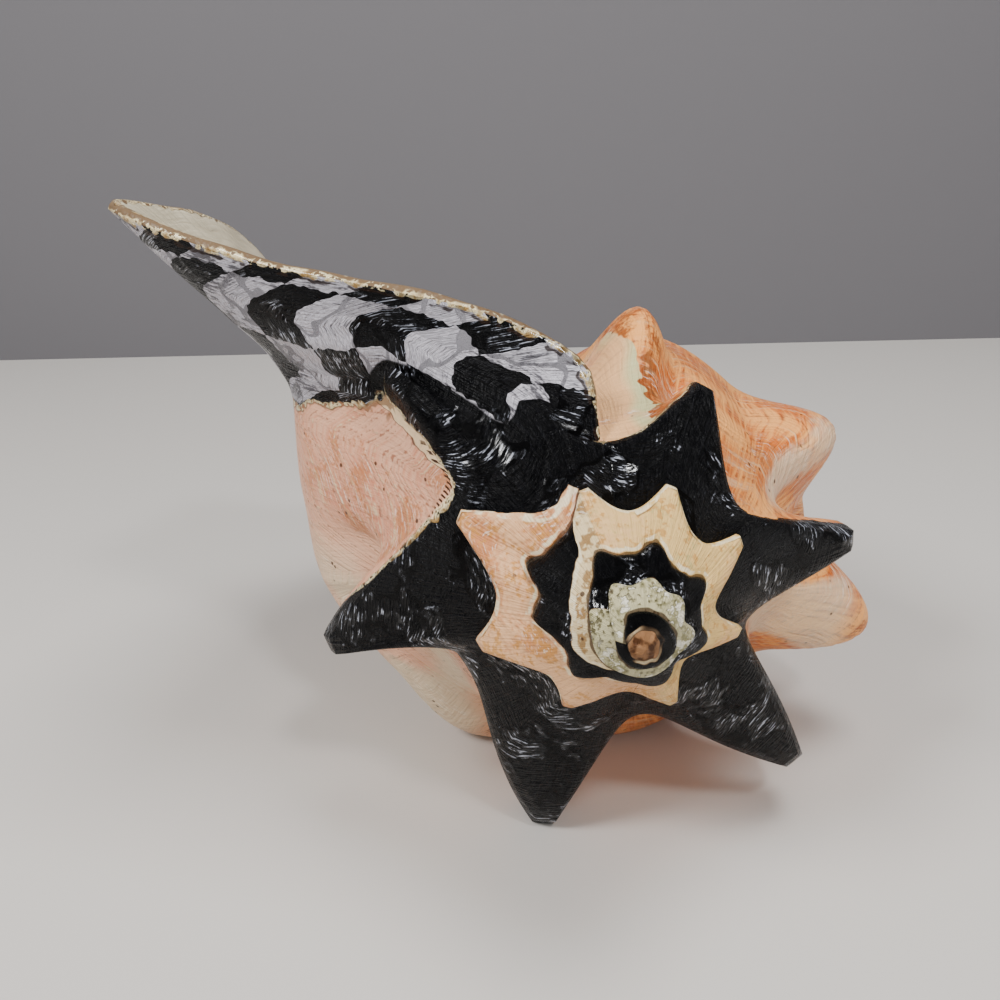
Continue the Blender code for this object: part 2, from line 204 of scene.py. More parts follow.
# The rounded edge of the lip: where its rings lie between the outer and the inner line,
# how far it stands out for its thickness, how lumpy it is, and how many degrees behind
# it the wall takes to reach its full thickness. The lumps are two waves along the rim.
RIM_STEPS = (0.12, 0.3, 0.5, 0.7, 0.88)
RIM_BULGE = 0.4
RIM_LUMPS = 0.5
RIM_WAVES = (0.9, 0.37)
RIM_DEPTH = 6

# What is kept for each corner of the skin: the growth angle, the way from the seam and
# from the shoulder's edge, the share of a spine, the height of a knob, and the way
# behind the lip, which is 0 outside. Over the rim it goes from RIM_OUTSIDE to 1. Inside,
# the shoulder's edge is DEEP away.
FACTS = ("turn", "from_seam", "from_edge", "spine", "knob", "inside")
RIM_OUTSIDE = 0.45
DEEP = 50.0

# The hollow closes at its end in these shares of the way to its middle.
HOLLOW_END_STEPS = (0.35, 0.6, 1.0)

# The growth angles at which the painted rings of the spire end, from the tip on: black,
# bare and pitted, black, and bare again, up to the black last turn. The end of the bare
# ring is torn from TORN_START on.
FIRST_RING_END = -800.0
SECOND_RING_END = -380.0
THIRD_RING_END = -20.0
TORN_START = 304.0
LAST_TURN = 340.0

# The checks: the growth angles between their rows, from the lip on, and their length.
FIRST_CHECK_ROW = 702.5
SECOND_CHECK_ROW = 690.0
THIRD_CHECK_ROW = 664.0
CHECK_LENGTH = 16.0

# The marks on the bare shell by the keel: the growth angles that they lie between, and
# how many degrees apart the flutes of the fluted edge are.
KEEL_MARKS = (651.0, 676.0)
FLUTES_END = 669.0
FLUTE_PITCH = 1.3

# The radius of the bead at the tip, and how wide its soft edge and the ring round it
# are, in metres.
BEAD_RADIUS = 0.004
BEAD_EDGE = 0.0003
BEAD_RING = 0.0009

# The camera: the way down as it sees it, its focal length in pixels of the photograph,
# and the photograph's size.
DOWN_IN_VIEW = (57, 2545, 1008)
FOCAL_PIXELS = 1008
PICTURE_PIXELS = 1000
SENSOR = 36

# The stage and the lights, in metres: how far the wall is from the shell and half the
# side of the floor and of the wall; then for each light its place, the point that it
# looks at, its two sides and its power in watts.
WALL_DISTANCE = 0.55
STAGE_SIZE = 3
LIGHTS = {
    "window": ((-0.75, -0.55, 0.95), (0, 0, 0.08), (0.35, 0.35), 14),
    "ceiling": ((0.25, -0.05, 1.2), (0, 0, 0), (0.5, 0.5), 10),
    "lamp": ((0.3, -0.7, 0.9), (0, 0, 0.08), (0.12, 0.12), 4),
    "low_fill": ((0.6, -0.9, 0.35), (0, 0, 0.1), (0.3, 0.2), 3),
}


def smooth_value(angle, keys, column):
    """Reads one column of a table at an angle, along a smooth curve without overshoot."""
    xs = np.array([row[0] for row in keys], float)
    ys = np.array([row[column] for row in keys], float)
    slopes = np.diff(ys) / np.diff(xs)
    tangents = np.zeros(len(ys))
    for i in range(1, len(ys) - 1):
        before, after = slopes[i - 1], slopes[i]
        if before * after > 0:
            tangents[i] = 2 * before * after / (before + after)
    tangents[0] = slopes[0]
    tangents[-1] = slopes[-1]
    i = int(np.clip(np.searchsorted(xs, angle) - 1, 0, len(xs) - 2))
    span = xs[i + 1] - xs[i]
    t = float(np.clip((angle - xs[i]) / span, 0, 1))
    a = (2 * t**3 - 3 * t**2 + 1) * ys[i] + (t**3 - 2 * t**2 + t) * span * tangents[i]
    b = (3 * t**2 - 2 * t**3) * ys[i + 1] + (t**3 - t**2) * span * tangents[i + 1]
    return a + b


def spike(offset, before, after):
    """1 at the middle of a spine and 0 from its foot on, with hollow sides."""
    foot = before if offset < 0 else after
    return max(0.0, 1 - max(0.0, abs(offset) - BLUNT_END) / foot) ** SPINE_HOLLOW


def spire_depth(radius):
    """The depth of the early spire's edge where it has a given radius."""
    return SPIRE_FRONT + SPIRE_SLOPE * math.hypot(radius, TIP_ROUND)


def shoulder(angle, spines=True):
    """The edge of the shoulder at an angle: sweep, radius, depth and spine share."""
    if angle < VALLEYS[0][0]:
        radius = smooth_value(angle, SPIRE, 1)
        return 0.0, radius, spire_depth(radius), 0.0
    sweep = 0.0
    radius = smooth_value(angle, VALLEYS, 1)
    depth = smooth_value(angle, VALLEYS, 2)
    total = 0.0
    for root, before, after, end_sweep, end_radius, end_depth in SPINES if spines else []:
        share = spike(angle - root, before, after)
        if share > 0:
            radius += (end_radius - smooth_value(root, VALLEYS, 1)) * share
            depth += (end_depth - smooth_value(root, VALLEYS, 2)) * share
            sweep += end_sweep * share
            total = max(total, share)
    return sweep, radius, depth, total


AXIS_FORWARD = np.array([
    -math.sin(math.radians(AXIS_YAW)) * math.cos(math.radians(AXIS_TILT)),
    math.cos(math.radians(AXIS_YAW)) * math.cos(math.radians(AXIS_TILT)),
    -math.sin(math.radians(AXIS_TILT)),
])
AXIS_UP = np.array([0, 0, 1.0]) - AXIS_FORWARD * AXIS_FORWARD[2]
AXIS_UP /= np.linalg.norm(AXIS_UP)
AXIS_RIGHT = np.cross(AXIS_FORWARD, AXIS_UP)


def centre_at(depth):
    """The middle of the spiral at a depth."""
    lean = LEAN * max(0.0, LEAN_DEPTH - depth)
    return ORIGIN + depth * AXIS_FORWARD + lean * AXIS_UP


def place(angle, radius, depth):
    """The point at an angle, a radius and a depth, in millimetres."""
    turn = math.radians(angle)
    out = math.cos(turn) * AXIS_UP + math.sin(turn) * AXIS_RIGHT
    return centre_at(depth) + radius * out


FRONT_POINT = place(*FRONT_END)
TIP_POINT = place(0, 0, spire_depth(0))


def from_table(angle, table):
    """A point read from a table of angle, sweep, radius and depth."""
    sweep, radius, depth = (smooth_value(angle, table, column) for column in (1, 2, 3))
    return place(angle + sweep, radius, depth)


def mix(first, second, share):
    """From the first to the second as share goes from 0 to 1."""
    return first * (1 - share) + second * share


def seam_point(angle):
    """Where the next turn joins this one: just under the shoulder's edge."""
    if angle <= FIRST_TURN:
        return TIP_POINT
    if angle >= BODY_START:
        return place(*SEAM_AT_LIP)
    sweep, radius, depth, _ = shoulder(angle)
    return place(angle + sweep, radius * SEAM_INSET, depth + SEAM_DROP * radius)


def curve_through(points, facets):
    """Points spread evenly along a smooth curve through the given points."""
    p = np.array(points)
    chords = np.diff(p, axis=0)
    spans = np.maximum(np.linalg.norm(chords, axis=1), SMALLEST)
    ways = chords / spans[:, None]
    tangents = np.vstack([ways, ways[-1:]])
    for i in range(1, len(p) - 1):
        before, after = spans[i - 1], spans[i]
        tangents[i] = (ways[i - 1] * after + ways[i] * before) / (before + after)
    fine = []
    for i, span in enumerate(spans):
        for t in np.linspace(0, 1, FINE_STEPS, endpoint=False):
            fine.append((2 * t**3 - 3 * t**2 + 1) * p[i] + (3 * t**2 - 2 * t**3) * p[i + 1]
                        + (t**3 - 2 * t**2 + t) * span * tangents[i]
                        + (t**3 - t**2) * span * tangents[i + 1])
    fine = np.array(fine + [p[-1]])
    run = np.concatenate([[0], np.cumsum(np.linalg.norm(np.diff(fine, axis=0), axis=1))])
    stops = np.linspace(0, run[-1], facets + 1)
    return np.column_stack([np.interp(stops, run, fine[:, k]) for k in range(3)])


def lip_share(angle):
    """0 up to the last spine and 1 at the lip."""
    start = LIP_SHOULDER[0][0]
    return float(np.clip((angle - start) / (LIP - start), 0, 1))


def ramp_line(angle, spines=True):
    """The growth line from the seam over the ramp to just under the shoulder."""
    start = seam_point(angle - TURN)
    sweep, radius, depth, share = shoulder(angle, spines)
    sweep += smooth_value(angle, LIP_EDGE_SWEEP, 1)
    edge = place(angle + sweep, radius, depth)
    if angle <= BODY_START:
        middle = (start + edge) / 2 - AXIS_FORWARD * EARLY_RAMP_BULGE * radius
        return curve_through([start, middle, edge, seam_point(angle)], RAMP_FACETS)
    middle = mix(start, edge, RAMP_MIDDLE) + AXIS_FORWARD * RAMP_HOLLOW * radius * share
    lower = depth + UNDER_DEPTH + UNDER_SPINE_DEPTH * share
    under = place(angle + sweep, radius * SEAM_INSET, lower)
    blend = lip_share(angle)
    if blend > 0:
        middle = mix(middle, from_table(angle, LIP_MIDDLE), blend)
        under = mix(under, from_table(angle, LIP_SHOULDER), min(1.0, UNDER_BLEND * blend))
    return curve_through([start, middle, edge, under], RAMP_FACETS)


def knob_height(angle):
    """How far the second row of knobs stands out at an angle."""
    total = 0.0
    for middle, half_width, height in KNOBS:
        t = max(0.0, 1 - abs(angle - middle) / half_width)
        total += height * t * t * (3 - 2 * t)
    return total


def body_line(angle, top, knobs=True, front=FRONT_POINT):
    """The growth line from under the shoulder down the body to the front end."""
    levels = []
    for level in range(1, 6):
        columns = [(row[0],) + row[level] for row in BODY_LINES]
        levels.append([smooth_value(angle, columns, k) for k in (1, 2, 3)])
    if knobs:
        levels[1][1] += knob_height(angle)
        levels[2][1] += knob_height(angle) * KNOB_SWELL
    points = [top] + [place(angle + s, r, d) for s, r, d in levels]
    sweep, radius, depth = levels[-1]
    end = place(angle + sweep, radius * FRONT_ROUND[0],
                depth + (FRONT_END[2] - depth) * FRONT_ROUND[1])
    return curve_through(points + [end, front], BODY_FACETS)


def whole_line(angle, decorated=True, front=FRONT_POINT):
    """The whole growth line, with or without its spines and knobs."""
    ramp = ramp_line(angle, decorated)
    return np.vstack([ramp, body_line(angle, ramp[-1], decorated, front)[1:]])


def to_axis(point):
    """The angle, radius and depth of a point."""
    depth = (point - ORIGIN) @ AXIS_FORWARD
    out = point - centre_at(depth)
    angle = math.degrees(math.atan2(out @ AXIS_RIGHT, out @ AXIS_UP))
    return angle, np.linalg.norm(out), depth


def offset_line(angle, wall, share):
    """A plain growth line moved into the shell by the thickness of the wall."""
    near = min(1.0, HOLLOW_TIP_BLEND * share)
    front = mix(FRONT_POINT, place(angle, *HOLLOW_TIP), near)
    here = whole_line(angle, False, front)
    across = (whole_line(min(angle + SLOPE_STEP, LIP), False, front)
              - whole_line(angle - SLOPE_STEP, False, front))
    along = np.gradient(here, axis=0)
    normal = np.cross(along, across)
    lengths = np.linalg.norm(normal, axis=1)
    normal = normal / np.maximum(lengths, SMALLEST)[:, None]
    normal[0] = normal[1]
    to_front = len(here) - 1 - np.arange(len(here))
    return here + normal * wall * np.minimum(1, to_front / WALL_FADE)[:, None]


def hollow_ring(angle, wall):
    """One ring of the hollow: down the wall's inner side and back up the middle pillar."""
    share = (LIP - angle) / HOLLOW_STEPS[-1]
    inward = min(1.0, PILLAR_BLEND * share)
    inward = inward * inward * (3 - 2 * inward)
    mouth_side = body_line(BODY_START, seam_point(BODY_START))
    inner = []
    for i in range(BODY_FACETS - 1, 0, -1):
        own_angle, radius, depth = to_axis(mouth_side[i])
        sweep = (own_angle - BODY_START + TURN / 2) % TURN - TURN / 2
        thin = math.sqrt(1 - i / BODY_FACETS)
        pillar = PILLAR_RADIUS * (PILLAR_THIN + (1 - PILLAR_THIN) * thin)
        radius = mix(radius, min(pillar, radius), inward)
        inner.append(place(angle + sweep * (1 - inward), radius, depth))
    ring = np.vstack([offset_line(angle, wall, share), inner])
    squeeze = (HOLLOW_FRONT - HOLLOW_NECK) / (FRONT_END[2] - HOLLOW_NECK)
    squeeze = mix(1, squeeze, min(1.0, SQUEEZE_BLEND * max(0, share - SQUEEZE_START)))
    for i, point in enumerate(ring):
        own_angle, radius, depth = to_axis(point)
        if depth > HOLLOW_NECK:
            ring[i] = place(own_angle, radius, HOLLOW_NECK + squeeze * (depth - HOLLOW_NECK))
    return ring


# The tip of the spire in the finished shell, in metres.
TIP = tuple(float(c) for c in (TIP_POINT - CENTRE) * MM)


def from_start(line):
    """How far each point of a line lies from its first one, along the line."""
    return np.concatenate([[0], np.cumsum(np.linalg.norm(np.diff(line, axis=0), axis=1))])


def growth_facts(angle, line):
    """For each point of a growth line, in the order of FACTS, where it lies."""
    run = from_start(line)
    sweep, radius, depth, share = shoulder(angle)
    sweep += smooth_value(angle, LIP_EDGE_SWEEP, 1)
    edge = place(angle + sweep, radius, depth)
    nearest = run[np.argmin(np.linalg.norm(line - edge, axis=1))]
    knob = knob_height(angle) if angle > BODY_START else 0.0
    same = np.ones(len(line))
    return np.column_stack([same * angle, run, run - nearest, same * share, same * knob, same * 0])


def hollow_facts(angle, rim_run, over_rim):
    """The same for a ring of the rim or the hollow, with how far it lies behind the lip."""
    same = np.ones(len(rim_run))
    inside = mix(RIM_OUTSIDE, 1.0, over_rim) + LIP - angle
    return np.column_stack([same * angle, rim_run, same * DEEP, same * 0, same * 0, same * inside])


def lay_surface(mesh, lines, facts, layers):
    """A sheet through the lines, whose corners keep the facts of their points."""
    rows = len(lines)
    sheet = bmesh.ops.create_grid(
        mesh, x_segments=rows - 1, y_segments=len(lines[0]) - 1, size=1)
    known = {}
    for index, vert in enumerate(sheet["verts"]):
        vert.co = lines[index % rows][index // rows] * MM
        known[vert] = facts[index % rows][index // rows]
    for face in {face for vert in sheet["verts"] for face in vert.link_faces}:
        for corner in face.loops:
            for layer, value in zip(layers, known[corner.vert]):
                corner[layer] = value


def rim_rings(mouth, first):
    """The rounded, lumpy edge of the lip, between its outer and its inner line."""
    thickness = np.linalg.norm(first - mouth, axis=1)
    onward = np.zeros_like(mouth)
    step = whole_line(LIP) - whole_line(LIP - SLOPE_STEP)
    onward[:len(step)] = step / np.maximum(np.linalg.norm(step, axis=1), SMALLEST)[:, None]
    along = np.arange(len(mouth))
    lumps = 1 + RIM_LUMPS * np.sin(along * RIM_WAVES[0]) * np.sin(along * RIM_WAVES[1])
    rings = []
    for share in RIM_STEPS:
        bulge = RIM_BULGE * math.sin(math.pi * share) * thickness * lumps
        rings.append(mix(mouth, first, share) + onward * bulge[:, None])
    return rings


def shell_skin():
    """Early turns, last turn with the lip, and the hollow, joined into one closed skin."""
    mesh = bmesh.new()
    layers = [mesh.loops.layers.float.new(name) for name in FACTS]
    turns = range(FIRST_TURN, BODY_START + 1, STEP)
    early = [ramp_line(a) for a in turns]
    lay_surface(mesh, early, [growth_facts(a, line) for a, line in zip(turns, early)], layers)
    turns = range(BODY_START, LIP + 1, STEP)
    late = [whole_line(a) for a in turns]
    late_facts = [growth_facts(a, line) for a, line in zip(turns, late)]
    lay_surface(mesh, late, late_facts, layers)
    mouth = np.vstack([late[-1], late[0][-2:RAMP_FACETS:-1]])
    rim_run = np.concatenate([late_facts[-1][:, 1], late_facts[0][-2:RAMP_FACETS:-1, 1]])
    first = hollow_ring(LIP, LIP_THICKNESS)
    rings = [mouth] + rim_rings(mouth, first) + [first]
    facts = [hollow_facts(LIP, rim_run, share) for share in (0.0, *RIM_STEPS, 1.0)]
    for back in HOLLOW_STEPS:
        wall = mix(LIP_THICKNESS, WALL, min(1.0, back / RIM_DEPTH))
        rings.append(hollow_ring(LIP - back, wall))
        facts.append(hollow_facts(LIP - back, rim_run, 1.0))
    middle = rings[-1].mean(axis=0)
    for share in HOLLOW_END_STEPS:
        rings.append(mix(rings[-1], middle, share))
        facts.append(facts[-1])
    rings = [np.vstack([ring, ring[:1]]) for ring in rings]
    facts = [np.vstack([fact, fact[:1]]) for fact in facts]
    lay_surface(mesh, rings, facts, layers)
    bmesh.ops.remove_doubles(mesh, verts=mesh.verts, dist=MERGE * MM)
    for vert in mesh.verts:
        vert.co.z = max(vert.co.z, 0.0)
    bmesh.ops.translate(mesh, verts=mesh.verts, vec=Vector(-CENTRE * MM))
    return mesh


def add_object(mesh, name, material):
    """Puts a finished mesh into the scene."""
    data = bpy.data.meshes.new(name)
    mesh.to_mesh(data)
    mesh.free()
    data.shade_smooth()
    data.materials.append(material)
    thing = bpy.data.objects.new(name, data)
    bpy.context.collection.objects.link(thing)
    return thing


class Value:
    """One output of a node. Arithmetic on it adds Math nodes."""

    def __init__(self, finish, socket):
        self.finish = finish
        self.socket = socket

    def math(self, operation, *others):
        sockets = dict(enumerate((self,) + others))
        return self.finish.node("ShaderNodeMath", {"operation": operation}, sockets)

    def turned_math(self, operation, other):
        sockets = {0: other, 1: self}
        return self.finish.node("ShaderNodeMath", {"operation": operation}, sockets)

    def __add__(self, other):
        return self.math("ADD", other)

    def __radd__(self, other):
        return self.math("ADD", other)

    def __sub__(self, other):
        return self.math("SUBTRACT", other)

    def __rsub__(self, other):
        return self.turned_math("SUBTRACT", other)

    def __mul__(self, other):
        return self.math("MULTIPLY", other)

    def __rmul__(self, other):
        return self.math("MULTIPLY", other)

    def __truediv__(self, other):
        return self.math("DIVIDE", other)

    def or_more(self, other):
        return self.math("MAXIMUM", other)

    def floor(self):
        return self.math("FLOOR")

    def odd(self):
        """1 where a whole number is odd, 0 where it is even."""
        return self.math("FLOORED_MODULO", 2.0)


class Finish:
    """Builds the nodes of one material."""

    def __init__(self, name):
        self.material = bpy.data.materials.new(name)
        self.material.use_nodes = True
        self.nodes = self.material.node_tree.nodes
        self.links = self.material.node_tree.links
        self.shader = self.nodes["Principled BSDF"]

    def feed(self, socket, value):
        if isinstance(value, Value):
            self.links.new(value.socket, socket)
        else:
            socket.default_value = value

    def node(self, kind, settings, sockets, output=0):
        made = self.nodes.new(kind)
        for setting, value in settings.items():
            setattr(made, setting, value)
        for socket, value in sockets.items():
            self.feed(made.inputs[socket], value)
        return Value(self, made.outputs[output])

    def fact(self, name):
        return self.node("ShaderNodeAttribute", {"attribute_name": name}, {}, "Fac")

    def position(self):
        return self.node("ShaderNodeTexCoord", {}, {}, "Object")

    def step(self, value, low, high):
        """0 below low and 1 above high."""
        return self.node("ShaderNodeMapRange", {"interpolation_type": "SMOOTHSTEP"}, {
            "Value": value, "From Min": low, "From Max": high}, "Result")

    def past(self, value, limit, soft):
        """0 before a limit and 1 past it, with a soft edge."""
        return self.step(value, limit - soft, limit + soft)

    def band(self, value, low, high, soft):
        """1 between low and high, with soft edges."""
        return self.past(value, low, soft) * (1 - self.past(value, high, soft))

    def noise(self, where, scale, detail, roughness=0.5):
        """Clouds about 0, mostly between -0.5 and 0.5."""
        return self.node("ShaderNodeTexNoise", {}, {
            "Vector": where, "Scale": scale, "Detail": detail, "Roughness": roughness}) - 0.5

    def vector(self, x, y):
        return self.node("ShaderNodeCombineXYZ", {}, {0: x, 1: y})

    def blend(self, first, second, share):
        """From the first colour to the second as share goes from 0 to 1."""
        return self.node("ShaderNodeMix", {"data_type": "RGBA"}, {0: share, 6: first, 7: second}, 2)

    def shade(self, **sockets):
        """Feeds the shader, with each socket's name in lower case and joined by _."""
        for name, value in sockets.items():
            self.feed(self.shader.inputs[name.replace("_", " ").title()], value)

    def relief(self, height):
        """A bump of the given height, in millimetres."""
        bump = self.node("ShaderNodeBump", {}, {"Distance": MM, "Strength": 1.0, "Height": height})
        self.feed(self.shader.inputs["Normal"], bump)


def colour(red, green, blue):
    """A colour as seen on a screen, each part from 0 to 255."""
    parts = []
    for part in (red, green, blue):
        c = part / 255
        parts.append(c / 12.92 if c <= 0.04045 else ((c + 0.055) / 1.055) ** 2.4)
    return (*parts, 1.0)


CREAM = colour(232, 210, 168)


class Places:
    """Where each point lies on the shell, and the unevenness that its finishes share.

    turn is the growth angle. run and edge are the way from the seam and from the
    shoulder's edge, in millimetres. drift, wander, tremble and flecks are clouds about
    18, 9, 2.4 and 1.1 mm across. rings is turn with an uneven line where a ring ends.
    """

    def __init__(self, f):
        self.turn = f.fact("turn")
        self.run = f.fact("from_seam")
        self.edge = f.fact("from_edge")
        self.spine = f.fact("spine")
        self.knob = f.fact("knob")
        self.inside = f.fact("inside")
        self.position = f.position()
        self.outside = 1 - f.step(self.inside, 0.2, 0.4)
        self.wander = f.noise(self.position, 110, 1.0)
        self.drift = f.noise(self.position, 55, 0.0)
        self.tremble = f.noise(self.position, 420, 0.0)
        self.flecks = f.noise(self.position, 900, 1.0, 0.6)
        self.rings = self.turn + self.wander * 3
        self.early = 1 - f.past(self.turn, LAST_TURN, 0.5)

    def add_grain(self, f):
        """Brush strokes and scratches, the cords along the turn and the growth lines."""
        turn, run, wander, drift = self.turn, self.run, self.wander, self.drift
        across = f.past(drift + wander * 0.8, 0.0, 0.04)
        strokes = f.vector(turn * (1.2 - across * 1.04), run * (0.13 + across * 1.17))
        self.brush = f.noise(strokes, 1.0, 2.0, 0.6)
        scratches = f.vector(turn * 0.35 + run * 1.5, run * 0.3 - turn * 0.16)
        self.hairs = f.noise(scratches, 1.0, 1.0, 0.6)
        self.cords = f.noise(f.vector(turn * 0.035 + drift, run * 0.5 + wander), 1.0, 1.0)
        lines = f.vector(turn * 0.8 + drift * 3 + wander, run * 0.05)
        self.growth = f.noise(lines, 1.0, 2.0, 0.6)


def enamel_places(f, at):
    """Where the black enamel lies, and the lines that it ends at."""
    turn, run, edge, wander, tremble = at.turn, at.run, at.edge, at.wander, at.tremble
    keel_seen = f.band(turn, 629.0, 664.0, 4.0)
    spine_ends = at.spine * 5 * (1 - keel_seen)
    keel = edge + wander * 2.2 + tremble * 1.6 - spine_ends + keel_seen * 2.4
    last_turn = f.past(turn + wander * 4, LAST_TURN, 0.5)
    before_end = ((turn - 300) / 40).or_more(0.0)
    torn_line = edge + before_end * before_end * 15.6 + wander * 1.6 + tremble * 1.2
    torn_off = f.past(torn_line, 0.0, 0.15) * f.band(turn, 301.0, 346.0, 0.5)
    flake_line = 676 - 12 * f.step(run, 50.0, 86.0)
    past_flakes = turn - flake_line + wander * 8 + tremble * 5
    lip_face = f.past(past_flakes, 0.0, 0.4) * last_turn
    shoulder_face = (last_turn * (1 - f.step(keel, 0.3, 0.9))).or_more(torn_off)
    strip_width = 6 * f.step(turn, -155.0, -100.0) + 9 * f.step(turn, -36.0, -21.0)
    strip_line = run + wander * 2 + tremble * 1.6 - strip_width
    strip = 1 - f.past(strip_line, 0.0, 0.2)
    third_ring = f.band(at.rings, SECOND_RING_END, THIRD_RING_END, 0.5) * (1 - strip)
    wedge_width = 0.4 + 9 * f.step(turn, -424.0, -394.0)
    wedge = f.band(at.rings, -505.0, -377.0, 0.5)
    wedge = wedge * f.past(edge + wander + wedge_width, 0.0, 0.2)
    first_ring = 1 - f.past(at.rings, FIRST_RING_END, 0.5)
    enamel = shoulder_face.or_more(lip_face).or_more(third_ring.or_more(wedge))
    enamel = enamel.or_more(first_ring) * at.outside
    return SimpleNamespace(
        keel=keel, last_turn=last_turn, torn_line=torn_line, past_flakes=past_flakes,
        strip_line=strip_line, strip=strip, wedge=wedge, enamel=enamel)


def white_checks(f, at, lines):
    turn, run, wander, tremble = at.turn, at.run, at.wander, at.tremble
    check_line = 711 - 21 * f.step(run, 1.0, 17.0) - 25 * f.step(run, 43.0, 84.0)
    shaken = turn + at.drift * 3 + wander * 2.4 + tremble * 2.4
    near_lip = FIRST_CHECK_ROW + 6 * f.step(run, 26.0, 48.0)
    row = 3 - f.past(shaken - near_lip, 0.0, 0.2)
    row = row - f.past(shaken, SECOND_CHECK_ROW, 0.2) - f.past(shaken, THIRD_CHECK_ROW, 0.2)
    along = (run + 2) / CHECK_LENGTH + wander * 0.16 + at.drift * 0.15 + tremble * 0.12
    white = (row.math("ROUND") + along.floor()).odd()
    return white * f.past(turn - check_line + wander * 5, 0.0, 0.5) * lines.enamel


def gilding(f, at, lines):
    """The gilt on the edges, the brown bed that it lies on, and an uneven growth angle
    that the gilt and the shadow along the rim follow.
    """
    wander, tremble = at.wander, at.tremble
    on_keel = f.band(lines.keel, -0.3, 1.3, 0.25) * lines.last_turn
    on_keel = on_keel * (f.band(at.turn, 629.0, 677.0, 1.0) + f.band(at.turn, 345.0, 386.0, 1.0))
    flakes = f.band(lines.past_flakes, -2.4, 0.5, 0.3) * f.step(at.run, 58.0, 62.0)
    flakes = flakes * f.step(tremble + at.flecks * 0.6, -0.14, 0.0)
    rim_line = at.turn + tremble * 2.2 + wander * 2.5
    rim_side = f.step(rim_line, 712.8, 713.1) * at.outside * lines.last_turn
    over_rim = at.inside + tremble * 0.35 + wander * 0.3
    rim_top = (1 - at.outside) * (1 - f.step(at.inside + tremble * 2, 1.2, 1.6))
    rim_lines = 1 - f.band(over_rim, 0.55, 0.86, 0.05)
    gilt = on_keel.or_more(flakes).or_more(rim_side.or_more(rim_top * rim_lines))
    gilt = gilt * f.step(tremble + at.flecks * 0.8 - wander * 0.3, -0.16, -0.06)
    return gilt, on_keel.or_more(rim_side).or_more(rim_top), rim_line


def body_colour(f, at):
    """The bare shell of the last turn: peach on the left side, tan on the right one."""
    turn, edge, wander, drift = at.turn, at.edge, at.wander, at.drift
    cords, growth, flecks = at.cords, at.growth, at.flecks
    darker_peach = f.step(drift * 0.7 + cords * 1.2, -0.15, 0.3)
    peach = f.blend(colour(230, 176, 144), colour(206, 128, 98), darker_peach)
    darker_tan = f.step(growth * 1.3 + drift, -0.25, 0.25)
    tan = f.blend(colour(240, 166, 92), colour(196, 98, 34), darker_tan)
    tan_side = f.step(turn, 352.0, 358.0) * (1 - f.step(turn, 500.0, 600.0))
    bare = f.blend(peach, tan, tan_side)
    streaks = f.step(cords + growth * 0.5 + drift * 0.4 + flecks * 0.3, 0.06, 0.3)
    bare = f.blend(bare, CREAM, streaks * (0.75 - tan_side * 0.25))
    dark_streaks = f.step(growth * 0.9 - cords * 1.1 + flecks * 0.5, 0.08, 0.34)
    bare = f.blend(bare, colour(136, 70, 42), dark_streaks * 0.7)
    stains = f.step(wander + flecks * 0.6 + drift * 0.5, 0.04, 0.22)
    bare = f.blend(bare, colour(186, 116, 68), stains * 0.65)
    crest = f.step(at.knob + drift * 8 + at.tremble * 4, 13.0, 18.0)
    crest = crest * f.band(edge, 12.0, 70.0, 8.0) * 0.6
    low_side = f.band(turn, 560.0, 628.0, 12.0) * f.step(edge, 8.0, 20.0)
    pale_side = crest.or_more(low_side * f.step(drift, -0.3, 0.1) * 0.8)
    return f.blend(bare, colour(224, 208, 176), pale_side)


def add_callus(f, at, bare):
    """The pale callus over the first knob, its brown rim, and the rough knob beside it."""
    turn, edge, wander, tremble = at.turn, at.edge, at.wander, at.tremble
    callus_edge = turn + wander * 12 + tremble * 6
    callus_top = at.run + ((turn - 365) * 4.5).or_more(0.0) + wander * 10 + tremble * 5
    callus = (1 - f.past(callus_edge, 374.0, 0.4)) * (1 - f.past(callus_top, 87.0, 1.0))
    callus = callus * f.step(turn, 350.0, 352.0) * f.step(edge, 1.0, 2.0)
    greener = f.step(turn + at.drift * 12, 364.0, 370.0)
    pale = f.blend(colour(228, 176, 124), colour(196, 190, 140), greener)
    blush = f.step(wander + at.drift, 0.04, 0.25) * 0.5
    bare = f.blend(bare, f.blend(pale, colour(214, 150, 112), blush), callus)
    callus_rim = f.band(callus_edge, 373.8, 376.4, 0.4) * f.step(edge, 1.5, 3.0)
    callus_rim = callus_rim * (1 - f.step(callus_top, 100.0, 120.0))
    bare = f.blend(bare, colour(120, 70, 34), callus_rim * 0.85)
    rough_knob = f.step(at.knob, 6.0, 10.0) * (1 - f.step(turn, 384.0, 390.0)) * (1 - callus)
    rough_knob = rough_knob * f.step(wander + at.flecks * 0.6, -0.12, 0.15)
    return f.blend(bare, colour(150, 74, 26), rough_knob * 0.85)


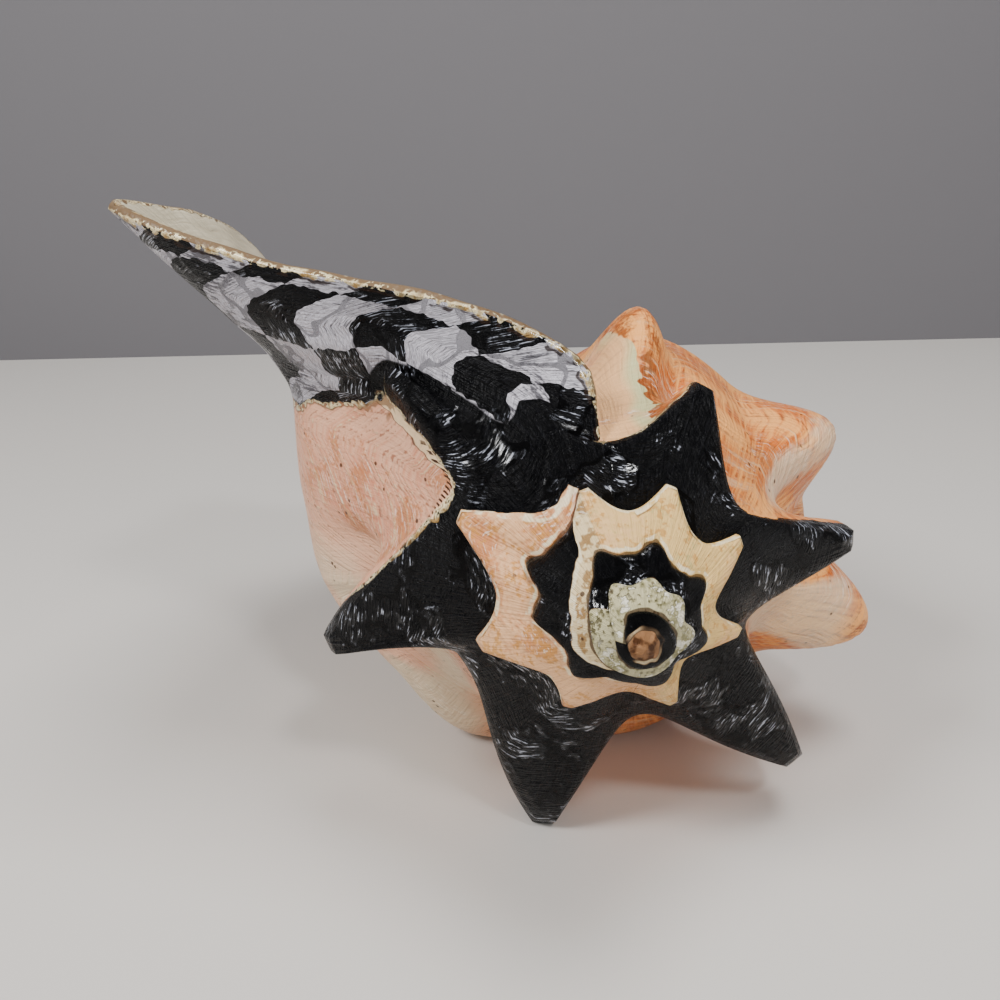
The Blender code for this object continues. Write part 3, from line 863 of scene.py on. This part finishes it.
def add_spire_rings(f, at, lines, dents, bare):
    """The bare rings of the spire: warm with a creamy top, and a pitted one near the tip."""
    turn, wander, drift = at.turn, at.wander, at.drift
    tremble, flecks, early = at.tremble, at.flecks, at.early
    darker_warm = f.step(drift + flecks * 0.6 + wander * 0.6, -0.1, 0.25)
    warm = f.blend(colour(226, 176, 130), colour(196, 128, 84), darker_warm)
    bare = f.blend(bare, warm, early)
    creamy = f.band(turn, -20.0, 160.0, 22.0) * f.step(drift + flecks * 0.3, -0.45, -0.15) * early
    bare = f.blend(bare, colour(222, 184, 116), creamy)
    greyish = f.step(wander + flecks * 0.6 + drift * 0.4, -0.04, 0.12)
    bare = f.blend(bare, colour(186, 168, 110), creamy * greyish * 0.8)
    ochre = f.step(tremble * 0.7 + flecks + wander * 0.8, 0.06, 0.2) * early
    bare = f.blend(bare, colour(196, 138, 68), ochre * 0.7)
    pitted_ring = f.band(at.rings, FIRST_RING_END, SECOND_RING_END, 0.5) * (1 - lines.wedge)
    darker_pitted = f.step(wander + flecks * 0.8, -0.08, 0.18)
    pitted = f.blend(colour(198, 190, 150), colour(140, 134, 96), darker_pitted)
    bare = f.blend(bare, pitted, pitted_ring)
    bare = f.blend(bare, colour(92, 84, 58), dents * pitted_ring * 0.75)
    strip_mark = f.band(at.rings, -150.0, THIRD_RING_END, 1.0) * lines.strip * early
    darker_worn = f.step(tremble + flecks, -0.06, 0.2)
    worn = f.blend(colour(222, 198, 152), colour(158, 124, 80), darker_worn)
    bare = f.blend(bare, worn, strip_mark)
    # Cream edging along the ring, torn, strip and seam edges, partly a painted highlight on the
    # raised edges.
    cream_edge_and_highlight = f.band(at.edge, -1.7, 0.4, 0.3) * f.band(turn, THIRD_RING_END, TORN_START, 2.0)
    torn_edge = f.band(lines.torn_line, -2.4, 0.0, 0.3) * f.band(turn, TORN_START, LAST_TURN, 1.0)
    strip_edge = f.band(lines.strip_line, -1.6, 0.0, 0.3) * strip_mark
    seam_edge = f.band(at.run + tremble * 1.5, 0.9, 1.9, 0.2)
    seam_edge = seam_edge * f.band(turn, THIRD_RING_END, 335.0, 4.0)
    cream_edge_and_highlight = cream_edge_and_highlight.or_more(torn_edge).or_more(strip_edge).or_more(seam_edge)
    cream_edge_and_highlight = cream_edge_and_highlight * f.step(tremble + flecks * 0.5, -0.16, 0.0)
    bare = f.blend(bare, colour(240, 226, 190), cream_edge_and_highlight * 0.8)
    crust = pitted_ring * f.step(tremble + flecks + wander * 0.6, 0.14, 0.24)
    crust = crust * (1 - f.step(turn, -470.0, -440.0))
    return f.blend(bare, colour(244, 238, 216), crust * 0.9)


def add_marks(f, at, lines, bare):
    """Painted glints, pinholes, the fluted edge, the thin curve, and painted shade in the seams."""
    turn, run, wander, tremble = at.turn, at.run, at.wander, at.tremble
    # Fine pale hatching painted as glints on the bare shell: painted highlights.
    painted_hatch_glints = f.step(at.hairs + at.brush * 0.5, 0.1, 0.18)
    painted_hatch_glints = painted_hatch_glints * f.step(at.drift + wander * 0.8, 0.05, 0.14)
    bare = f.blend(bare, colour(252, 244, 232), painted_hatch_glints * 0.4)
    cells = {"Vector": at.position, "Scale": 190.0}
    holes = f.node("ShaderNodeTexVoronoi", {}, cells, "Distance")
    pinholes = (1 - f.step(holes, 0.08, 0.14)) * f.past(at.drift + wander * 0.5, 0.0, 0.03)
    flutes = f.step((turn * (TURN / FLUTE_PITCH)).math("RADIANS").math("SINE"), 0.0, 0.3)
    flutes = flutes * f.band(lines.keel, 2.0, 4.6, 0.4) * f.band(turn, KEEL_MARKS[0], FLUTES_END, 1.0)
    past_crescent = lines.keel - (2 + 5.5 * f.step(turn, 662.0, 668.0))
    crescent = f.step(lines.keel, 0.8, 1.4) * (1 - f.past(past_crescent, 0.0, 0.3))
    crescent = crescent * f.band(turn, *KEEL_MARKS, 1.0)
    curve = f.band(past_crescent, 0.0, 0.7, 0.2) * f.band(turn, 661.0, KEEL_MARKS[1], 1.5)
    # Painted shade: a dark line along the seams, where the next turn overlaps this one.
    seam_shade = (1 - f.step(run + tremble * 1.5, 0.5, 0.8)) * f.past(turn, FIRST_RING_END, 5.0)
    seam_shade = seam_shade * (1 - f.band(turn, -460.0, SECOND_RING_END, 4.0))
    inner_line = f.band(at.edge + tremble, -2.2, -1.7, 0.15) * f.step(wander, -0.04, 0.06)
    inner_line = inner_line * f.band(turn, THIRD_RING_END, TORN_START, 2.0)
    bare = f.blend(bare, colour(232, 206, 164), crescent * 0.85 * at.outside)
    # Dark brown for the flutes, pinholes, thin curve and inner line, and painted shade along the
    # seams.
    marks = flutes.or_more(pinholes * 0.9).or_more(seam_shade * 0.85).or_more(curve * 0.8)
    bare = f.blend(bare, colour(64, 38, 22), marks.or_more(inner_line * 0.6) * at.outside)
    # The brown of the flaky growth line under the checks, widened by a painted shadow under its
    # ledge.
    flake_edge_and_shadow = f.band(lines.past_flakes, -3.2, 0.6, 0.5) * f.step(run, 42.0, 50.0)
    return f.blend(bare, colour(120, 84, 52), flake_edge_and_shadow * 0.8)


def add_bead(f, at, bare):
    """The bead at the broken tip, and how much it and its ring leave of the enamel."""
    distance = {0: at.position, 1: TIP}
    from_tip = f.node("ShaderNodeVectorMath", {"operation": "DISTANCE"}, distance, "Value")
    from_tip = from_tip + at.tremble * 0.0016
    bead = 1 - f.step(from_tip, BEAD_RADIUS - BEAD_EDGE, BEAD_RADIUS)
    ring = f.band(from_tip, BEAD_RADIUS, BEAD_RADIUS + BEAD_RING, 0.0002)
    ring = ring * f.step(at.wander, -0.1, 0.0)
    bare = f.blend(bare, CREAM, ring)
    mottle = f.step(at.tremble + at.flecks * 0.5, -0.1, 0.2)
    bare = f.blend(bare, f.blend(colour(176, 128, 88), colour(96, 60, 36), mottle), bead)
    return bare, (1 - bead) * (1 - ring)


def mouth_lining(f, at):
    """Pale nacre by the lip, and a pink throat deeper in."""
    darker_nacre = f.step(at.growth + at.drift, -0.3, 0.3)
    nacre = f.blend(colour(214, 204, 178), colour(186, 176, 152), darker_nacre)
    darker_throat = f.step(at.drift, -0.2, 0.3)
    throat = f.blend(colour(238, 186, 154), colour(224, 150, 118), darker_throat)
    return f.blend(nacre, throat, f.step(at.inside + at.wander * 12, 28.0, 52.0))


def add_paint(f, at, patches, enamel, checks, bare):
    """Black enamel with painted glints in patches, and the smeared white of the checks."""
    brush = at.brush
    painted_glints = f.step(brush + at.hairs * 0.6 + at.flecks * 0.3, 0.1, 0.16) * patches
    black = f.blend(colour(8, 8, 10), colour(22, 22, 26), f.step(brush, 0.0, 0.3))
    # Pale blue-white dashes painted as glints on the enamel: painted highlights.
    black = f.blend(black, colour(186, 190, 204), painted_glints * 0.8)
    smear = at.wander * 0.7 - at.drift * 0.6 + brush * 0.9 + at.flecks * 0.3
    white = f.blend(colour(194, 190, 198), colour(46, 45, 50), f.step(smear, 0.06, 0.2) * 0.8)
    return f.blend(f.blend(bare, black, enamel), white, checks)


def add_gold(f, at, lines, gilt, rim_line, painted):
    """The gilding, and a painted shadow line in the paint under the gilt on the rim."""
    rim_shadow = f.band(rim_line, 711.9, 712.8, 0.2) * at.outside * lines.last_turn
    rim_shadow = rim_shadow * f.step(at.tremble + at.wander, -0.14, 0.0) * 0.9
    darker_gold = f.step(at.tremble + at.flecks * 0.6, -0.1, 0.25)
    gold = f.blend(colour(236, 220, 176), colour(160, 126, 76), darker_gold)
    return f.blend(f.blend(painted, colour(40, 26, 18), rim_shadow), gold, gilt)


def shell_relief(f, at, enamel, gilt, dents):
    """Strokes in the enamel, growth lines on the bare shell, crumbly gilt and pits."""
    strokes = at.brush * 2.2 + at.hairs * 1.4 + at.wander * 2.4
    growth_lines = at.growth * 0.7 + at.cords * 0.7
    relief = strokes * enamel + at.flecks * 0.12 + growth_lines * (1 - enamel)
    relief = relief + gilt * (0.35 + at.tremble * 1.4)
    return relief - dents * (1 - f.step(at.turn, -385.0, SECOND_RING_END)) * 0.5


def painted_shell():
    """The whole surface: bare shell, black enamel, checks, gilding and the nacre inside."""
    f = Finish("painted_shell")
    at = Places(f)
    at.add_grain(f)
    lines = enamel_places(f, at)
    checks = white_checks(f, at, lines)
    gilt, gilt_bed, rim_line = gilding(f, at, lines)
    dents = f.step(at.flecks + at.tremble * 0.5, 0.06, 0.2)

    bare = add_callus(f, at, body_colour(f, at))
    bare = add_spire_rings(f, at, lines, dents, bare)
    bare, beside_bead = add_bead(f, at, add_marks(f, at, lines, bare))
    enamel = lines.enamel * beside_bead
    bare = f.blend(mouth_lining(f, at), bare, at.outside)
    bare = f.blend(bare, colour(96, 68, 40), gilt_bed * 0.9)

    # Patches of the enamel that get the painted glints and a wet coat.
    patches = f.step(at.wander + at.drift * 0.6 + at.tremble * 0.4, 0.03, 0.12)
    painted = add_paint(f, at, patches, enamel, checks, bare)
    surface = add_gold(f, at, lines, gilt, rim_line, painted)
    f.relief(shell_relief(f, at, enamel, gilt, dents))
    rough = 0.34 - enamel * 0.06 + checks * 0.08 + at.tremble * 0.1 - gilt * 0.06
    wet = f.step(at.brush + at.hairs * 0.5, -0.02, 0.08)
    coat = (enamel * wet * patches * 0.7).or_more(gilt * 0.5)
    f.shade(base_color=surface, roughness=rough, coat_weight=coat)
    f.shader.inputs["Specular IOR Level"].default_value = 0.12
    f.shader.inputs["Coat Roughness"].default_value = 0.1
    return f.material


def plain_finish(name, tone, rough):
    """A flat studio surface."""
    f = Finish(name)
    f.shade(base_color=tone, roughness=rough)
    return f.material


def add_stage():
    """A pale floor and a plain wall behind it."""
    floor = bmesh.new()
    bmesh.ops.create_grid(floor, x_segments=1, y_segments=1, size=STAGE_SIZE)
    add_object(floor, "floor", plain_finish("floor_paint", colour(208, 203, 197), 0.45))
    wall = bmesh.new()
    bmesh.ops.create_grid(wall, x_segments=1, y_segments=1, size=STAGE_SIZE)
    bmesh.ops.rotate(wall, verts=wall.verts, matrix=Matrix.Rotation(math.pi / 2, 3, "X"))
    bmesh.ops.translate(wall, verts=wall.verts, vec=(0, WALL_DISTANCE, 0))
    add_object(wall, "wall", plain_finish("wall_paint", colour(104, 102, 105), 0.7))


def add_light(name, stand, target, size, power):
    """A flat light that looks at a point."""
    data = bpy.data.lights.new(name, "AREA")
    data.shape = "RECTANGLE"
    data.size, data.size_y = size
    data.energy = power
    light = bpy.data.objects.new(name, data)
    light.location = stand
    way = Vector(target) - Vector(stand)
    light.rotation_euler = way.to_track_quat("-Z", "Y").to_euler()
    bpy.context.collection.objects.link(light)


def add_camera():
    """The camera of the photograph, tipped down and slightly rolled."""
    down = np.array(DOWN_IN_VIEW, float)
    down /= np.linalg.norm(down)
    forward = np.array([0, 0, 1.0]) - down * down[2]
    forward /= np.linalg.norm(forward)
    right = np.cross(forward, -down)
    world = np.array([right, forward, -down])
    axes = Matrix(np.column_stack([world[:, 0], -world[:, 1], -world[:, 2]]).tolist())
    data = bpy.data.cameras.new("camera")
    data.sensor_width = SENSOR
    data.lens = SENSOR * FOCAL_PIXELS / PICTURE_PIXELS
    data.clip_start = 0.01
    camera = bpy.data.objects.new("camera", data)
    stand = (np.array([0, 0, CAMERA_HEIGHT]) - CENTRE) * MM
    camera.matrix_world = Matrix.Translation(Vector(stand)) @ axes.to_4x4()
    bpy.context.collection.objects.link(camera)
    bpy.context.scene.camera = camera


shell = add_object(shell_skin(), "shell_skin", painted_shell())
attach(shell, "root")
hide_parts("shell")

add_stage()
add_camera()
for light_name, setting in LIGHTS.items():
    add_light(light_name, *setting)

world = bpy.data.worlds.new("room")
world.use_nodes = True
world.node_tree.nodes["Background"].inputs["Color"].default_value = (0.86, 0.87, 0.9, 1)
world.node_tree.nodes["Background"].inputs["Strength"].default_value = 0.3
bpy.context.scene.world = world
